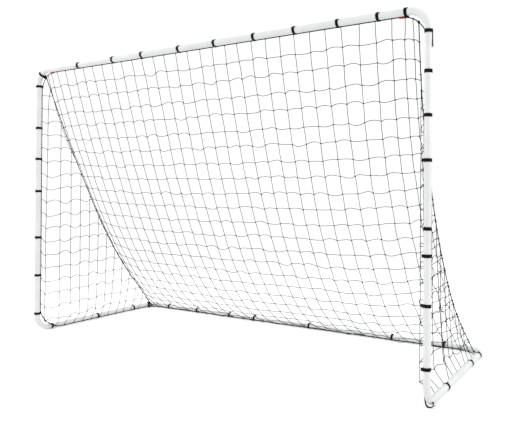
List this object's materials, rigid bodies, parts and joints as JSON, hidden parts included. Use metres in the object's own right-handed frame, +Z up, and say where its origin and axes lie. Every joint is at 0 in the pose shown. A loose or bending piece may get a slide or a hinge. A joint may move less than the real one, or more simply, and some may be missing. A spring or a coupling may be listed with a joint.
{
  "type": "football goal",
  "caption": "Free-standing garden football goal: knock-down frame of round steel tubes with snap-button joints and a sloping net strapped inside it.",
  "frame": {"origin": "on the ground, under the middle of the frame's plan", "axes": "+X along the crossbar to the right seen from in front, +Y back into the goal, +Z up"},
  "size_m": [3.0546, 1.2244, 1.9835],
  "materials": {
    "white_tube": "satin",
    "net": "matte",
    "cord": "matte",
    "strap": "matte",
    "tie": "matte",
    "spring_steel": "satin",
    "button_steel": "polished"
  },
  "bodies": {
    "goal": {"crossbar_left": "white_tube", "crossbar_right": "white_tube", "post_left": "white_tube", "post_right": "white_tube", "rear_bar_left": "white_tube", "rear_bar_right": "white_tube", "top_corner_left": "white_tube", "top_corner_right": "white_tube", "foot_corner_left": "white_tube", "foot_corner_right": "white_tube", "rear_corner_left": "white_tube", "rear_corner_right": "white_tube", "back_net": "net", "side_net_left": "net", "side_net_right": "net", "mouth_cord": "cord", "ground_cord": "cord", "diagonal_cord_left": "cord", "diagonal_cord_right": "cord", "corner_tie_left": "tie", "corner_tie_right": "tie", "straps_crossbar": "strap", "straps_post_left": "strap", "straps_post_right": "strap", "straps_side_left": "strap", "straps_side_right": "strap", "straps_rear": "strap", "clip_springs": "spring_steel"},
    "snap_crossbar_centre": {"leaf_crossbar_centre": "spring_steel", "button_crossbar_centre": "button_steel"},
    "snap_rear_centre": {"leaf_rear_centre": "spring_steel", "button_rear_centre": "button_steel"},
    "snap_crossbar_end_left": {"leaf_crossbar_end_left": "spring_steel", "button_crossbar_end_left": "button_steel"},
    "snap_post_top_left": {"leaf_post_top_left": "spring_steel", "button_post_top_left": "button_steel"},
    "snap_post_foot_left": {"leaf_post_foot_left": "spring_steel", "button_post_foot_left": "button_steel"},
    "snap_side_left": {"leaf_side_left": "spring_steel", "button_side_left": "button_steel"},
    "snap_rear_end_left": {"leaf_rear_end_left": "spring_steel", "button_rear_end_left": "button_steel"},
    "snap_crossbar_end_right": {"leaf_crossbar_end_right": "spring_steel", "button_crossbar_end_right": "button_steel"},
    "snap_post_top_right": {"leaf_post_top_right": "spring_steel", "button_post_top_right": "button_steel"},
    "snap_post_foot_right": {"leaf_post_foot_right": "spring_steel", "button_post_foot_right": "button_steel"},
    "snap_side_right": {"leaf_side_right": "spring_steel", "button_side_right": "button_steel"},
    "snap_rear_end_right": {"leaf_rear_end_right": "spring_steel", "button_rear_end_right": "button_steel"}
  },
  "joints": [
    {"name": "press_crossbar_centre", "type": "hinge", "parent": "goal", "child": "snap_crossbar_centre", "pos_m": [-0.015, -0.57594, 1.961], "axis": [0, 0, -1], "range_deg": [0, 6.6], "stiffness_Nm_per_rad": 6, "springref_deg": -3.44},
    {"name": "press_rear_centre", "type": "hinge", "parent": "goal", "child": "snap_rear_centre", "pos_m": [-0.015, 0.57594, 0.02065], "axis": [0, 0, 1], "range_deg": [0, 6.6], "stiffness_Nm_per_rad": 6, "springref_deg": -3.44},
    {"name": "press_crossbar_end_left", "type": "hinge", "parent": "goal", "child": "snap_crossbar_end_left", "pos_m": [-1.221, -0.57594, 1.961], "axis": [0, 0, -1], "range_deg": [0, 6.6], "stiffness_Nm_per_rad": 6, "springref_deg": -3.44},
    {"name": "press_post_top_left", "type": "hinge", "parent": "goal", "child": "snap_post_top_left", "pos_m": [-1.506, -0.57594, 1.636], "axis": [-1, 0, 0], "range_deg": [0, 6.6], "stiffness_Nm_per_rad": 6, "springref_deg": -3.44},
    {"name": "press_post_foot_left", "type": "hinge", "parent": "goal", "child": "snap_post_foot_left", "pos_m": [-1.506, -0.57594, 0.35565], "axis": [1, 0, 0], "range_deg": [0, 6.6], "stiffness_Nm_per_rad": 6, "springref_deg": -3.44},
    {"name": "press_side_left", "type": "hinge", "parent": "goal", "child": "snap_side_left", "pos_m": [-1.49094, -0.015, 0.02065], "axis": [0, 0, 1], "range_deg": [0, 6.6], "stiffness_Nm_per_rad": 6, "springref_deg": -3.44},
    {"name": "press_rear_end_left", "type": "hinge", "parent": "goal", "child": "snap_rear_end_left", "pos_m": [-1.221, 0.57594, 0.02065], "axis": [0, 0, 1], "range_deg": [0, 6.6], "stiffness_Nm_per_rad": 6, "springref_deg": -3.44},
    {"name": "press_crossbar_end_right", "type": "hinge", "parent": "goal", "child": "snap_crossbar_end_right", "pos_m": [1.221, -0.57594, 1.961], "axis": [0, 0, 1], "range_deg": [0, 6.6], "stiffness_Nm_per_rad": 6, "springref_deg": -3.44},
    {"name": "press_post_top_right", "type": "hinge", "parent": "goal", "child": "snap_post_top_right", "pos_m": [1.506, -0.57594, 1.636], "axis": [-1, 0, 0], "range_deg": [0, 6.6], "stiffness_Nm_per_rad": 6, "springref_deg": -3.44},
    {"name": "press_post_foot_right", "type": "hinge", "parent": "goal", "child": "snap_post_foot_right", "pos_m": [1.506, -0.57594, 0.35565], "axis": [1, 0, 0], "range_deg": [0, 6.6], "stiffness_Nm_per_rad": 6, "springref_deg": -3.44},
    {"name": "press_side_right", "type": "hinge", "parent": "goal", "child": "snap_side_right", "pos_m": [1.49094, -0.015, 0.02065], "axis": [0, 0, -1], "range_deg": [0, 6.6], "stiffness_Nm_per_rad": 6, "springref_deg": -3.44},
    {"name": "press_rear_end_right", "type": "hinge", "parent": "goal", "child": "snap_rear_end_right", "pos_m": [1.221, 0.57594, 0.02065], "axis": [0, 0, -1], "range_deg": [0, 6.6], "stiffness_Nm_per_rad": 6, "springref_deg": -3.44}
  ]
}
